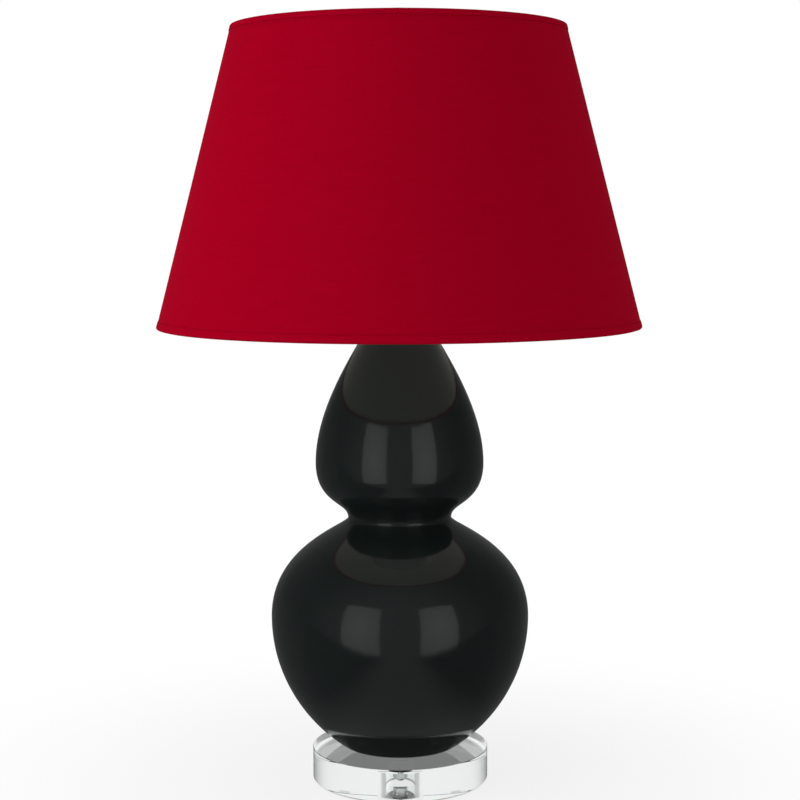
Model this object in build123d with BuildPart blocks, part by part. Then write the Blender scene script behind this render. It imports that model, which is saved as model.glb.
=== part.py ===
from build123d import *
import os
from math import asin, cos, radians, sin

# Table lamp with a double gourd body of glazed ceramic, a clear acrylic base and a red
# hardback shade on a harp. Millimetres, +Z up, origin on the table under the lamp's axis.
# The front looks along -Y, the harp stands across X and the cord leaves at the back, +Y.

os.makedirs("parts", exist_ok=True)

# ---------------------------------------------------------------- driving dimensions
# Fits
screw_fit = 0.05  # radial clearance of screwed and glued pieces
slip_fit = 0.15  # radial clearance of pieces that turn or slide by hand
seat_gap = 0.2  # between two seats of pieces that lift off each other

# Clear base
pad_diameter = 12
pad_height = 1.6
pad_circle_radius = 72
pad_count = 4
disc_diameter = 177.8
disc_height = 31.75
disc_edge = 0.4
pocket_diameter = 31
disc_web = 18.75
stud_diameter = 6.35
stud_recess = 2  # from the disc's underside up to the stud's end
stud_hole_clearance = 0.25
washer_diameter = 16
washer_thickness = 1.2
lock_washer_diameter = 11.8
nut_across_flats = 12.7
nut_height = 5.5
spacer_diameter = 18
spacer_height = 3

# Gourd body: each height is above the one before it, from the foot up
foot_radius = 58
foot_lean = 33  # degrees from level, at the foot
foot_round = 2.5
belly_radius = 130
belly_height = 132.5
waist_radius = 52
waist_rise = 100
shoulder_radius = 84.5
shoulder_rise = 55.5
mouth_radius = 27.8
mouth_rise = 143
neck_lean = 30.5  # degrees from upright, at the mouth
foot_sweep = 37  # lengths of the outline's handles
underbelly_sweep = 67
upper_belly_sweep = 71
waist_sweep_below = 9.5
waist_sweep_above = 17
undershoulder_sweep = 40.5
shoulder_sweep = 53
neck_sweep = 41.5
wall = 6
gourd_floor = 8
lip_round = 1.6
foot_hole_diameter = 10

# Cord inlet, low on the back of the gourd
inlet_station = 0.4  # share of the way along the under-belly curve
inlet_bore = 7
grommet_barrel = 10.5
grommet_flange = 15
grommet_flange_thickness = 2
grommet_end = 3  # of the barrel, past the wall

# Pipe through the middle
pipe_diameter = 9.9
pipe_bore = 7
floor_washer_diameter = 40
floor_washer_thickness = 2
coupling_diameter = 14
coupling_height = 25
coupling_screw_depth = 12
window_gap = 6  # from the coupling up to the cord window
window_height = 16
window_width = 6.4
pipe_into_socket = 9

# Metal over the mouth
gasket_thickness = 0.8
cap_diameter = 66
cap_rim_height = 5
cap_sheet = 1.4
cap_rise = 7
cap_crown_diameter = 24
neck_tube_diameter = 19
neck_tube_height = 17.4
neck_tube_wall = 1.2
lock_nut_across_flats = 14.3
lock_nut_height = 4

# Harp
saddle_span = 57  # between the two posts
saddle_thickness = 2
saddle_width = 12.7
shoulder_diameter = 6.4
post_shoulder_height = 4
post_pin_diameter = 3.6
post_pin_height = 8
harp_height = 241.3
harp_width = 122
harp_wire = 3.6
harp_foot_height = 14
harp_leg_rise = 21  # straight part above each foot
harp_flare_rise = 34
harp_corner = 50
harp_bend = 16
sleeve_diameter = 8.6
sleeve_height = 12
eye_diameter = 12
eye_thickness = 4
harp_bore_depth = 8.6
swivel_collar_diameter = 12
swivel_collar_height = 2.8
swivel_pin_diameter = 4
swivel_head_diameter = 7
swivel_head_height = 1
swivel_play = 0.1
finial_thread_diameter = 6.35
finial_thread_height = 12

# Socket, heights above the saddle
socket_diameter = 34
socket_sheet = 0.8
socket_cap_height = 17
socket_hub_diameter = 14
socket_hub_height = 4
socket_cone_height = 5.5
cap_overlap = 4  # of the shell inside the cap
shell_height = 46
sleeve_wall = 0.8  # cardboard sleeve inside the shell
interior_height = 20
screw_shell_diameter = 27.4
screw_shell_height = 24
screw_shell_sheet = 0.5
screw_shell_eye = 13
contact_length = 11
contact_width = 5
contact_sheet = 0.5
contact_rise = 1.4
terminal_spacing = 17
terminal_head_diameter = 6
terminal_head_height = 2.4
terminal_shank_diameter = 3
terminal_shank_length = 7
switch_rise = 9  # above the interior's underside
switch_stem_diameter = 4
switch_bushing_diameter = 7
switch_bushing_reach = 3.5  # in front of the shell
switch_depth = 8  # of the stem's inner end, behind the shell
knob_gap = 1
knob_diameter = 11
knob_length = 14
knob_wall = 3  # in front of the stem's end
knob_grip_count = 12
knob_grip_diameter = 1.6
set_screw_diameter = 3
set_screw_length = 3.5

# Bulb
lamp_cap_diameter = 26
lamp_cap_height = 26
lamp_cap_sheet = 0.6
lamp_cap_cone_height = 4
lamp_contact_diameter = 9
lamp_contact_height = 2
bulb_diameter = 60
bulb_length = 110
bulb_wall = 1
bulb_neck_sweep = 24
bulb_shoulder_sweep = 26

# Shade
shade_top_diameter = 330.2
shade_bottom_diameter = 482.6
shade_slant = 304.8
fitter_drop = 12.7
cloth = 0.6
hem_cloth = 0.5
shade_liner_sheet = 0.6
layer_gap = 0.06
ring_wire = 3.2
bottom_hem_width = 7.5
top_hem_width = 6
hem_turn_in = 5  # of the hem's cloth, up the inside
arm_wire = 3.2
arm_count = 3
arm_weld = 0.3  # the arms' sink into the hub and the ring
notch_play = 0.3  # round each arm, in the top hem
hub_diameter = 25.4
hub_thickness = 1.6
hub_lap = 4  # of each arm over the hub
stud_play = 0.4  # radial, of the hub on its stud

# Finial
finial_diameter = 22
finial_height = 27.8
finial_base_diameter = 13
finial_neck_diameter = 8
finial_edge = 1.5
finial_base_height = 11
finial_head_height = 12
finial_insert_diameter = 9.5
finial_insert_height = 9
finial_bore_end = 3  # of the bore, above the insert

# ---------------------------------------------------------------- levels above the table
disc_bottom = pad_height
disc_top = disc_bottom + disc_height
pocket_top = disc_top - disc_web
foot = disc_top + spacer_height
floor_top = foot + gourd_floor
coupling_bottom = floor_top + floor_washer_thickness
coupling_top = coupling_bottom + coupling_height
belly_level = foot + belly_height
waist_level = belly_level + waist_rise
shoulder_level = waist_level + shoulder_rise
lip = shoulder_level + mouth_rise
gasket_top = lip + gasket_thickness
cap_top = gasket_top + cap_rise
neck_top = cap_top + neck_tube_height
saddle_bottom = neck_top + lock_nut_height
saddle_top = saddle_bottom + saddle_thickness
post_shoulder_top = saddle_top + post_shoulder_height
harp_foot = post_shoulder_top + seat_gap
swivel_seat = post_shoulder_top + harp_height
eye_top = swivel_seat - swivel_collar_height
hub_bottom = swivel_seat + seat_gap
hub_top = hub_bottom + hub_thickness
shade_top = swivel_seat + fitter_drop
lean = asin((shade_bottom_diameter - shade_top_diameter) / 2 / shade_slant)
shade_bottom = shade_top - shade_slant * cos(lean)
shell_bottom = saddle_top + socket_cap_height - cap_overlap
interior_top = shell_bottom + interior_height
switch_level = shell_bottom + switch_rise
bulb_bottom = interior_top + contact_rise + contact_sheet + seat_gap

post_x = saddle_span / 2
stud_hole_diameter = stud_diameter + 2 * stud_hole_clearance
pipe_hole_diameter = pipe_diameter + 2 * screw_fit


# ---------------------------------------------------------------- clear base
with BuildPart() as bumper_feet:
    with BuildSketch(Plane.XY) as pad_sketch:
        with PolarLocations(pad_circle_radius, pad_count, start_angle=45):
            Circle(pad_diameter / 2)
    extrude(amount=pad_height)
    fillet(bumper_feet.edges().group_by(Axis.Z)[0], pad_height / 4)
bumper_feet.part.label = "bumper_feet"
export_step(bumper_feet.part, "parts/bumper_feet.step")

with BuildPart() as base_disc:
    with BuildSketch(Plane.XY.offset(disc_bottom)) as disc_sketch:
        Circle(disc_diameter / 2)
    extrude(amount=disc_height)
    chamfer(base_disc.edges(), disc_edge)
    with Locations(Plane(origin=(0, 0, disc_bottom), z_dir=(0, 0, -1))):
        CounterBoreHole(stud_hole_diameter / 2, pocket_diameter / 2, pocket_top - disc_bottom)
base_disc.part.label = "base_disc"
export_step(base_disc.part, "parts/base_disc.step")

# The stud hangs under the pipe coupling and clamps the gourd to the disc.
with BuildPart() as base_stud:
    stud_bottom = disc_bottom + stud_recess
    with BuildSketch(Plane.XY.offset(stud_bottom)) as stud_sketch:
        Circle(stud_diameter / 2)
    extrude(amount=coupling_bottom + coupling_screw_depth - stud_bottom)
    chamfer(base_stud.edges(), stud_diameter / 10)
base_stud.part.label = "base_stud"
export_step(base_stud.part, "parts/base_stud.step")

with BuildPart() as base_flat_washer:
    with BuildSketch(Plane.XY.offset(pocket_top - washer_thickness)) as washer_sketch:
        Circle(washer_diameter / 2)
        Circle(stud_hole_diameter / 2, mode=Mode.SUBTRACT)
    extrude(amount=washer_thickness)
base_flat_washer.part.label = "base_flat_washer"
export_step(base_flat_washer.part, "parts/base_flat_washer.step")

with BuildPart() as base_lock_washer:
    lock_washer_top = pocket_top - washer_thickness
    with BuildSketch(Plane.XY.offset(lock_washer_top - washer_thickness)) as lock_sketch:
        Circle(lock_washer_diameter / 2)
        Circle(stud_hole_diameter / 2, mode=Mode.SUBTRACT)
        with Locations((lock_washer_diameter / 2, 0)):
            Rectangle(lock_washer_diameter, washer_thickness / 2, mode=Mode.SUBTRACT)
    extrude(amount=washer_thickness)
base_lock_washer.part.label = "base_lock_washer"
export_step(base_lock_washer.part, "parts/base_lock_washer.step")

with BuildPart() as base_nut:
    nut_top = lock_washer_top - washer_thickness
    with BuildSketch(Plane.XY.offset(nut_top - nut_height)) as nut_sketch:
        RegularPolygon(nut_across_flats / 2, 6, major_radius=False)
        Circle(stud_diameter / 2 + screw_fit, mode=Mode.SUBTRACT)
    extrude(amount=nut_height)
base_nut.part.label = "base_nut"
export_step(base_nut.part, "parts/base_nut.step")

with BuildPart() as base_spacer:
    with BuildSketch(Plane.XY.offset(disc_top)) as spacer_sketch:
        Circle(spacer_diameter / 2)
        Circle(stud_hole_diameter / 2, mode=Mode.SUBTRACT)
    extrude(amount=spacer_height)
base_spacer.part.label = "base_spacer"
export_step(base_spacer.part, "parts/base_spacer.step")


# ---------------------------------------------------------------- gourd body
# The outline runs from foot to belly, waist, shoulder and mouth. The same curves, drawn in
# by the wall, make the hollow, so the inlet can be drilled square to the outer one.
def gourd_outline(inset, bottom):
    start = foot_radius - inset / 2
    belly = belly_radius - inset
    waist = waist_radius - inset
    shoulder = shoulder_radius - inset
    mouth = mouth_radius - inset
    foot_out = foot_sweep * cos(radians(foot_lean))
    foot_up = foot_sweep * sin(radians(foot_lean))
    neck_out = neck_sweep * sin(radians(neck_lean))
    neck_down = neck_sweep * cos(radians(neck_lean))
    lower = Bezier(
        (start, bottom), (start + foot_out, bottom + foot_up),
        (belly, belly_level - underbelly_sweep), (belly, belly_level),
    )
    Bezier(
        (belly, belly_level), (belly, belly_level + upper_belly_sweep),
        (waist, waist_level - waist_sweep_below), (waist, waist_level),
    )
    Bezier(
        (waist, waist_level), (waist, waist_level + waist_sweep_above),
        (shoulder, shoulder_level - undershoulder_sweep), (shoulder, shoulder_level),
    )
    Bezier(
        (shoulder, shoulder_level), (shoulder, shoulder_level + shoulder_sweep),
        (mouth + neck_out, lip - neck_down), (mouth, lip),
    )
    Polyline((mouth, lip), (0, lip), (0, bottom), (start, bottom))
    return lower


with BuildPart() as gourd_body:
    with BuildSketch(Plane.XZ) as glaze_sketch:
        with BuildLine() as glaze_line:
            under_belly = gourd_outline(0, foot)
        make_face()
    revolve(axis=Axis.Z)
    with BuildSketch(Plane.XZ) as hollow_sketch:
        with BuildLine() as hollow_line:
            gourd_outline(wall, floor_top)
        make_face()
    revolve(axis=Axis.Z, mode=Mode.SUBTRACT)
    fillet(gourd_body.edges().group_by(Axis.Z)[-1], lip_round)
    fillet(gourd_body.edges().group_by(Axis.Z)[0], foot_round)
    with BuildSketch(Plane.XY.offset(foot)) as foot_hole_sketch:
        Circle(foot_hole_diameter / 2)
    extrude(amount=gourd_floor, mode=Mode.SUBTRACT)

    # The cord's way out is drilled at the back, square to the outline where it passes
    inlet_point = under_belly @ inlet_station
    inlet_run = under_belly % inlet_station
    inlet_plane = Plane(
        origin=(0, inlet_point.X, inlet_point.Y),
        x_dir=(1, 0, 0),
        z_dir=(0, inlet_run.Y, -inlet_run.X),
    )
    with Locations(inlet_plane):
        Hole(grommet_barrel / 2 + screw_fit, depth=4 * wall)
gourd_body.part.label = "gourd_body"
export_step(gourd_body.part, "parts/gourd_body.step")

with BuildPart() as cord_bushing:
    with BuildSketch(inlet_plane) as flange_sketch:
        Circle(grommet_flange / 2)
    extrude(amount=grommet_flange_thickness)
    fillet(cord_bushing.edges(), grommet_flange_thickness / 3)
    with BuildSketch(inlet_plane) as barrel_sketch:
        Circle(grommet_barrel / 2)
    extrude(amount=-(wall + grommet_end))
    with Locations(inlet_plane.offset(grommet_flange_thickness)):
        Hole(inlet_bore / 2)
cord_bushing.part.label = "cord_bushing"
export_step(cord_bushing.part, "parts/cord_bushing.step")


# ---------------------------------------------------------------- pipe through the middle
with BuildPart() as floor_washer:
    with BuildSketch(Plane.XY.offset(floor_top)) as floor_washer_sketch:
        Circle(floor_washer_diameter / 2)
        Circle(stud_hole_diameter / 2, mode=Mode.SUBTRACT)
    extrude(amount=floor_washer_thickness)
floor_washer.part.label = "floor_washer"
export_step(floor_washer.part, "parts/floor_washer.step")

with BuildPart() as pipe_coupling:
    with BuildSketch(Plane.XY.offset(coupling_bottom)) as coupling_sketch:
        Circle(coupling_diameter / 2)
    extrude(amount=coupling_height)
    chamfer(pipe_coupling.edges(), stud_hole_clearance)
    with BuildSketch(Plane.XY.offset(coupling_bottom)) as stud_bore_sketch:
        Circle(stud_diameter / 2 + screw_fit)
    extrude(amount=coupling_screw_depth, mode=Mode.SUBTRACT)
    with BuildSketch(Plane.XY.offset(coupling_top)) as pipe_bore_sketch:
        Circle(pipe_hole_diameter / 2)
    extrude(amount=-coupling_screw_depth, mode=Mode.SUBTRACT)
pipe_coupling.part.label = "pipe_coupling"
export_step(pipe_coupling.part, "parts/pipe_coupling.step")

with BuildPart() as lamp_pipe:
    pipe_bottom = coupling_top - coupling_screw_depth
    with BuildSketch(Plane.XY.offset(pipe_bottom)) as pipe_sketch:
        Circle(pipe_diameter / 2)
        Circle(pipe_bore / 2, mode=Mode.SUBTRACT)
    extrude(amount=saddle_top + pipe_into_socket - pipe_bottom)
    window_middle = coupling_top + window_gap + window_height / 2
    with BuildSketch(Plane(origin=(0, 0, window_middle), x_dir=(0, 0, 1), z_dir=(0, 1, 0))) as window:
        SlotOverall(window_height, window_width)
    extrude(amount=pipe_diameter, mode=Mode.SUBTRACT)
lamp_pipe.part.label = "lamp_pipe"
export_step(lamp_pipe.part, "parts/lamp_pipe.step")


# ---------------------------------------------------------------- metal over the mouth
with BuildPart() as lip_gasket:
    with BuildSketch(Plane.XY.offset(lip)) as gasket_sketch:
        Circle(mouth_radius - lip_round / 2)
        Circle(mouth_radius - wall + lip_round / 2, mode=Mode.SUBTRACT)
    extrude(amount=gasket_thickness)
lip_gasket.part.label = "lip_gasket"
export_step(lip_gasket.part, "parts/lip_gasket.step")

with BuildPart() as vase_cap:
    with BuildSketch(Plane.XZ) as cap_sketch:
        with BuildLine() as cap_line:
            cap_radius = cap_diameter / 2
            rim_bottom = gasket_top - cap_rim_height
            crown_radius = cap_crown_diameter / 2
            Polyline(
                (crown_radius, cap_top), (pipe_hole_diameter / 2, cap_top),
                (pipe_hole_diameter / 2, gasket_top), (cap_radius - cap_sheet, gasket_top),
                (cap_radius - cap_sheet, rim_bottom), (cap_radius, rim_bottom),
                (cap_radius, gasket_top + cap_sheet),
            )
            Bezier(
                (cap_radius, gasket_top + cap_sheet), (cap_radius, cap_top), (crown_radius, cap_top)
            )
        make_face()
    revolve(axis=Axis.Z)
vase_cap.part.label = "vase_cap"
export_step(vase_cap.part, "parts/vase_cap.step")

with BuildPart() as neck_tube:
    with BuildSketch(Plane.XY.offset(cap_top)) as neck_sketch:
        Circle(neck_tube_diameter / 2)
        Circle(neck_tube_diameter / 2 - neck_tube_wall, mode=Mode.SUBTRACT)
    extrude(amount=neck_tube_height)
neck_tube.part.label = "neck_tube"
export_step(neck_tube.part, "parts/neck_tube.step")

with BuildPart() as lock_nut:
    with BuildSketch(Plane.XY.offset(neck_top)) as lock_nut_sketch:
        RegularPolygon(lock_nut_across_flats / 2, 6, major_radius=False)
        Circle(pipe_hole_diameter / 2, mode=Mode.SUBTRACT)
    extrude(amount=lock_nut_height)
lock_nut.part.label = "lock_nut"
export_step(lock_nut.part, "parts/lock_nut.step")


# ---------------------------------------------------------------- harp
with BuildPart() as harp_saddle:
    with BuildSketch(Plane.XY.offset(saddle_bottom)) as saddle_sketch:
        SlotOverall(saddle_span + saddle_width, saddle_width)
        Circle(pipe_hole_diameter / 2, mode=Mode.SUBTRACT)
    extrude(amount=saddle_thickness)
    with BuildSketch(Plane.XY.offset(saddle_top)) as post_sketch:
        with Locations((post_x, 0), (-post_x, 0)):
            Circle(shoulder_diameter / 2)
    extrude(amount=post_shoulder_height)
    with BuildSketch(Plane.XY.offset(post_shoulder_top)) as pin_sketch:
        with Locations((post_x, 0), (-post_x, 0)):
            Circle(post_pin_diameter / 2)
    extrude(amount=post_pin_height, taper=2)
harp_saddle.part.label = "harp_saddle"
export_step(harp_saddle.part, "parts/harp_saddle.step")

# The bow is one bent wire, with a drilled foot on each end and an eye at the top.
with BuildPart() as harp_bow:
    foot_top = harp_foot + harp_foot_height
    flare_bottom = foot_top + harp_leg_rise
    flare_top = flare_bottom + harp_flare_rise
    bow_top = eye_top - eye_thickness / 2
    half_width = harp_width / 2
    with BuildLine(Plane.XZ) as bow_line:
        FilletPolyline(
            (post_x, foot_top), (post_x, flare_bottom), (half_width, flare_top),
            (half_width, bow_top), (-half_width, bow_top),
            (-half_width, flare_top), (-post_x, flare_bottom), (-post_x, foot_top),
            radius=[harp_bend, harp_bend, harp_corner, harp_corner, harp_bend, harp_bend],
        )
    with BuildSketch(Plane.XY.offset(foot_top)) as bow_sketch:
        with Locations((post_x, 0)):
            Circle(harp_wire / 2)
    sweep()
    with BuildSketch(Plane.XY.offset(harp_foot)) as harp_foot_sketch:
        with Locations((post_x, 0), (-post_x, 0)):
            Circle(shoulder_diameter / 2)
    extrude(amount=harp_foot_height)
    with BuildSketch(Plane.XY.offset(harp_foot)) as harp_bore_sketch:
        with Locations((post_x, 0), (-post_x, 0)):
            Circle(post_pin_diameter / 2 + slip_fit)
    extrude(amount=harp_bore_depth, mode=Mode.SUBTRACT)
    with BuildSketch(Plane.XY.offset(eye_top)) as eye_sketch:
        Circle(eye_diameter / 2)
    extrude(amount=-eye_thickness)
    with BuildSketch(Plane.XY.offset(eye_top)) as eye_bore_sketch:
        Circle(swivel_pin_diameter / 2 + slip_fit)
    extrude(amount=-eye_thickness, mode=Mode.SUBTRACT)
harp_bow.part.label = "harp_bow"
export_step(harp_bow.part, "parts/harp_bow.step")

for side, side_name in ((-1, "left"), (1, "right")):
    with BuildPart() as harp_sleeve:
        with BuildSketch(Plane.XY.offset(saddle_top + seat_gap)) as sleeve_sketch:
            with Locations((side * post_x, 0)):
                Circle(sleeve_diameter / 2)
                Circle(shoulder_diameter / 2 + slip_fit, mode=Mode.SUBTRACT)
        extrude(amount=sleeve_height)
    harp_sleeve.part.label = f"harp_sleeve_{side_name}"
    export_step(harp_sleeve.part, f"parts/harp_sleeve_{side_name}.step")

# The stud on top of the harp turns on its riveted pin, and the shade turns with it.
with BuildPart() as harp_swivel:
    pin_bottom = eye_top - eye_thickness - swivel_play
    with BuildSketch(Plane.XY.offset(eye_top)) as collar_sketch:
        Circle(swivel_collar_diameter / 2)
    extrude(amount=swivel_collar_height)
    with BuildSketch(Plane.XY.offset(swivel_seat)) as thread_sketch:
        Circle(finial_thread_diameter / 2)
    extrude(amount=finial_thread_height)
    chamfer(harp_swivel.edges().group_by(Axis.Z)[-1], finial_thread_diameter / 10)
    with BuildSketch(Plane.XY.offset(eye_top)) as swivel_pin_sketch:
        Circle(swivel_pin_diameter / 2)
    extrude(amount=pin_bottom - eye_top)
    with BuildSketch(Plane.XY.offset(pin_bottom)) as swivel_head_sketch:
        Circle(swivel_head_diameter / 2)
    extrude(amount=-swivel_head_height)
harp_swivel.part.label = "harp_swivel"
export_step(harp_swivel.part, "parts/harp_swivel.step")


# ---------------------------------------------------------------- socket
shell_radius = socket_diameter / 2
sleeve_radius = shell_radius - socket_sheet - screw_fit
interior_radius = sleeve_radius - sleeve_wall - screw_fit
switch_plane = Plane(origin=(0, 0, switch_level), x_dir=(1, 0, 0), z_dir=(0, -1, 0))
set_screw_plane = Plane(
    origin=(0, 0, saddle_top + socket_hub_height / 2), x_dir=(1, 0, 0), z_dir=(0, -1, 0)
)

with BuildPart() as socket_cap:
    cap_inner = shell_radius + screw_fit
    cap_outer = cap_inner + socket_sheet
    hub_radius = socket_hub_diameter / 2
    cone_bottom = saddle_top + socket_hub_height
    cone_top = cone_bottom + socket_cone_height
    socket_cap_top = saddle_top + socket_cap_height
    with BuildSketch(Plane.XZ) as socket_cap_sketch:
        with BuildLine() as socket_cap_line:
            Polyline(
                (pipe_hole_diameter / 2, saddle_top), (hub_radius, saddle_top),
                (hub_radius, cone_bottom), (cap_outer, cone_top), (cap_outer, socket_cap_top),
                (cap_inner, socket_cap_top), (cap_inner, cone_top + socket_sheet / 2),
                (hub_radius, cone_bottom + socket_sheet),
                (pipe_hole_diameter / 2, cone_bottom + socket_sheet), close=True,
            )
        make_face()
    revolve(axis=Axis.Z)
    with BuildSketch(set_screw_plane) as set_screw_hole_sketch:
        Circle(set_screw_diameter / 2 + screw_fit)
    extrude(amount=hub_radius * 2, mode=Mode.SUBTRACT)
socket_cap.part.label = "socket_cap"
export_step(socket_cap.part, "parts/socket_cap.step")

with BuildPart() as cap_set_screw:
    with BuildSketch(set_screw_plane.offset(pipe_diameter / 2 + screw_fit)) as set_screw_sketch:
        Circle(set_screw_diameter / 2)
        Rectangle(set_screw_diameter / 6, set_screw_diameter * 2, mode=Mode.SUBTRACT)
    extrude(amount=set_screw_length)
    with BuildSketch(set_screw_plane.offset(pipe_diameter / 2 + screw_fit)) as screw_shank_sketch:
        Circle(set_screw_diameter / 2)
    extrude(amount=set_screw_length * 3 / 4)
cap_set_screw.part.label = "cap_set_screw"
export_step(cap_set_screw.part, "parts/cap_set_screw.step")

with BuildPart() as socket_shell:
    with BuildSketch(Plane.XY.offset(shell_bottom)) as shell_sketch:
        Circle(shell_radius)
        Circle(shell_radius - socket_sheet, mode=Mode.SUBTRACT)
    extrude(amount=shell_height)
    with BuildSketch(switch_plane) as shell_hole_sketch:
        Circle(switch_bushing_diameter / 2 + screw_fit)
    extrude(amount=socket_diameter, mode=Mode.SUBTRACT)
socket_shell.part.label = "socket_shell"
export_step(socket_shell.part, "parts/socket_shell.step")

with BuildPart() as socket_insulator:
    with BuildSketch(Plane.XY.offset(shell_bottom)) as sleeve_tube_sketch:
        Circle(sleeve_radius)
        Circle(sleeve_radius - sleeve_wall, mode=Mode.SUBTRACT)
    extrude(amount=shell_height + socket_sheet)
    with BuildSketch(switch_plane) as sleeve_hole_sketch:
        Circle(switch_bushing_diameter / 2 + screw_fit)
    extrude(amount=socket_diameter, mode=Mode.SUBTRACT)
socket_insulator.part.label = "socket_insulator"
export_step(socket_insulator.part, "parts/socket_insulator.step")

with BuildPart() as socket_interior:
    with BuildSketch(Plane.XY.offset(shell_bottom)) as interior_sketch:
        Circle(interior_radius)
    extrude(amount=interior_height)
    with BuildSketch(switch_plane.offset(shell_radius - switch_depth)) as bushing_seat_sketch:
        Circle(switch_bushing_diameter / 2 + screw_fit)
    extrude(amount=switch_depth, mode=Mode.SUBTRACT)
    with BuildSketch(Plane.XY.offset(shell_bottom)) as terminal_hole_sketch:
        with Locations((terminal_spacing / 2, 0), (-terminal_spacing / 2, 0)):
            Circle(terminal_shank_diameter / 2 + screw_fit)
    extrude(amount=terminal_shank_length, mode=Mode.SUBTRACT)
socket_interior.part.label = "socket_interior"
export_step(socket_interior.part, "parts/socket_interior.step")

with BuildPart() as terminal_screws:
    with BuildSketch(Plane.XY.offset(shell_bottom)) as terminal_head_sketch:
        with Locations((terminal_spacing / 2, 0), (-terminal_spacing / 2, 0)):
            Circle(terminal_head_diameter / 2)
    extrude(amount=-terminal_head_height)
    with BuildSketch(Plane.XY.offset(shell_bottom)) as terminal_shank_sketch:
        with Locations((terminal_spacing / 2, 0), (-terminal_spacing / 2, 0)):
            Circle(terminal_shank_diameter / 2)
    extrude(amount=terminal_shank_length)
    with BuildSketch(Plane.XY.offset(shell_bottom - terminal_head_height)) as terminal_slot_sketch:
        with Locations((terminal_spacing / 2, 0), (-terminal_spacing / 2, 0)):
            Rectangle(terminal_head_diameter * 2, terminal_head_diameter / 6)
    extrude(amount=terminal_head_height / 3, mode=Mode.SUBTRACT)
terminal_screws.part.label = "terminal_screws"
export_step(terminal_screws.part, "parts/terminal_screws.step")

with BuildPart() as screw_shell:
    with BuildSketch(Plane.XY.offset(interior_top)) as screw_shell_sketch:
        Circle(screw_shell_diameter / 2)
    extrude(amount=screw_shell_height)
    with BuildSketch(Plane.XY.offset(interior_top + screw_shell_sheet)) as screw_shell_bore_sketch:
        Circle(screw_shell_diameter / 2 - screw_shell_sheet)
    extrude(amount=screw_shell_height, mode=Mode.SUBTRACT)
    with BuildSketch(Plane.XY.offset(interior_top)) as screw_shell_eye_sketch:
        Circle(screw_shell_eye / 2)
    extrude(amount=screw_shell_height, mode=Mode.SUBTRACT)
screw_shell.part.label = "screw_shell"
export_step(screw_shell.part, "parts/screw_shell.step")

# The centre contact is a strip with a raised tongue that the bulb presses on.
with BuildPart() as centre_contact:
    half_strip = contact_length / 2
    tongue_top = interior_top + contact_rise + contact_sheet
    with BuildSketch(Plane.XZ) as contact_sketch:
        with BuildLine() as contact_line:
            Polyline(
                (-half_strip, interior_top), (-half_strip / 3, interior_top),
                (half_strip / 3, tongue_top - contact_sheet), (half_strip, tongue_top - contact_sheet),
                (half_strip, tongue_top), (half_strip / 3 - contact_sheet / 2, tongue_top),
                (-half_strip / 3 - contact_sheet / 2, interior_top + contact_sheet),
                (-half_strip, interior_top + contact_sheet), close=True,
            )
        make_face()
    extrude(amount=contact_width / 2, both=True)
centre_contact.part.label = "centre_contact"
export_step(centre_contact.part, "parts/centre_contact.step")

with BuildPart() as switch_bushing:
    bushing_back = shell_radius - switch_depth
    with BuildSketch(switch_plane.offset(bushing_back)) as bushing_sketch:
        Circle(switch_bushing_diameter / 2)
        Circle(switch_stem_diameter / 2 + slip_fit, mode=Mode.SUBTRACT)
    extrude(amount=switch_depth + switch_bushing_reach)
switch_bushing.part.label = "switch_bushing"
export_step(switch_bushing.part, "parts/switch_bushing.step")

with BuildPart() as switch_stem:
    knob_back = shell_radius + switch_bushing_reach + knob_gap
    stem_back = bushing_back + seat_gap
    stem_front = knob_back + knob_length - knob_wall
    with BuildSketch(switch_plane.offset(stem_back)) as stem_sketch:
        Circle(switch_stem_diameter / 2)
    extrude(amount=stem_front - stem_back)
switch_stem.part.label = "switch_stem"
export_step(switch_stem.part, "parts/switch_stem.step")

with BuildPart() as switch_knob:
    with BuildSketch(switch_plane.offset(knob_back)) as knob_sketch:
        Circle(knob_diameter / 2)
        with PolarLocations(knob_diameter / 2, knob_grip_count):
            Circle(knob_grip_diameter / 2, mode=Mode.SUBTRACT)
    extrude(amount=knob_length)
    with BuildSketch(switch_plane.offset(knob_back)) as knob_bore_sketch:
        Circle(switch_stem_diameter / 2 + screw_fit)
    extrude(amount=stem_front - knob_back, mode=Mode.SUBTRACT)
switch_knob.part.label = "switch_knob"
export_step(switch_knob.part, "parts/switch_knob.step")


# ---------------------------------------------------------------- bulb
lamp_cap_radius = lamp_cap_diameter / 2
lamp_cap_bottom = bulb_bottom + lamp_contact_height
lamp_cap_top = lamp_cap_bottom + lamp_cap_height
bulb_top = bulb_bottom + bulb_length

with BuildPart() as bulb_contact:
    with BuildSketch(Plane.XY.offset(bulb_bottom)) as bulb_contact_sketch:
        Circle(lamp_contact_diameter / 2)
    extrude(amount=lamp_contact_height)
    fillet(bulb_contact.edges().group_by(Axis.Z)[0], lamp_contact_height / 3)
bulb_contact.part.label = "bulb_contact"
export_step(bulb_contact.part, "parts/bulb_contact.step")

with BuildPart() as bulb_cap:
    contact_radius = lamp_contact_diameter / 2
    cone_end = lamp_cap_bottom + lamp_cap_cone_height
    with BuildSketch(Plane.XZ) as bulb_cap_sketch:
        with BuildLine() as bulb_cap_line:
            Polyline(
                (0, lamp_cap_bottom), (contact_radius, lamp_cap_bottom), (lamp_cap_radius, cone_end),
                (lamp_cap_radius, lamp_cap_top), (lamp_cap_radius - lamp_cap_sheet, lamp_cap_top),
                (lamp_cap_radius - lamp_cap_sheet, cone_end + lamp_cap_sheet),
                (contact_radius, lamp_cap_bottom + lamp_cap_sheet),
                (0, lamp_cap_bottom + lamp_cap_sheet), close=True,
            )
        make_face()
    revolve(axis=Axis.Z)
bulb_cap.part.label = "bulb_cap"
export_step(bulb_cap.part, "parts/bulb_cap.step")


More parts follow.
